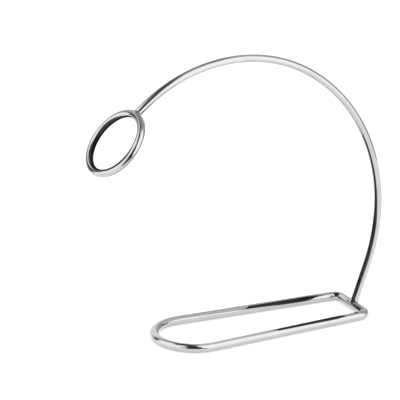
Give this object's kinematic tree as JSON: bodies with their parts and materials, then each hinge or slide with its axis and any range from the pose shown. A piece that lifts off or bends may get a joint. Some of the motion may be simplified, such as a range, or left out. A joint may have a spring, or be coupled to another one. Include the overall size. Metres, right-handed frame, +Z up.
{
  "type": "wine rack",
  "caption": "Chromed wire cradle that holds a wine bottle at a slope, with a floor loop, a tilted neck ring and a tall arched carrying and pouring handle.",
  "frame": {"origin": "on the floor under the middle of the whole object's box", "axes": "+Z up, the plane y = 0 is the plane of symmetry, +X from the neck ring at the front towards the handle's foot at the back, +Y towards the object's left side when it is seen from the back"},
  "size_m": [0.228, 0.061, 0.2022],
  "materials": {
    "floor_wire_chrome": "bright polished chrome plate on thick round steel wire",
    "arch_wire_chrome": "bright polished chrome plate on thinner round steel wire",
    "weld_chrome": "chrome plate over a small, slightly rippled weld fillet"
  },
  "bodies": {
    "root": {"base_loop": "floor_wire_chrome", "handle": "arch_wire_chrome", "neck_ring": "arch_wire_chrome", "foot_weld": "weld_chrome", "ring_weld": "weld_chrome"}
  },
  "joints": []
}
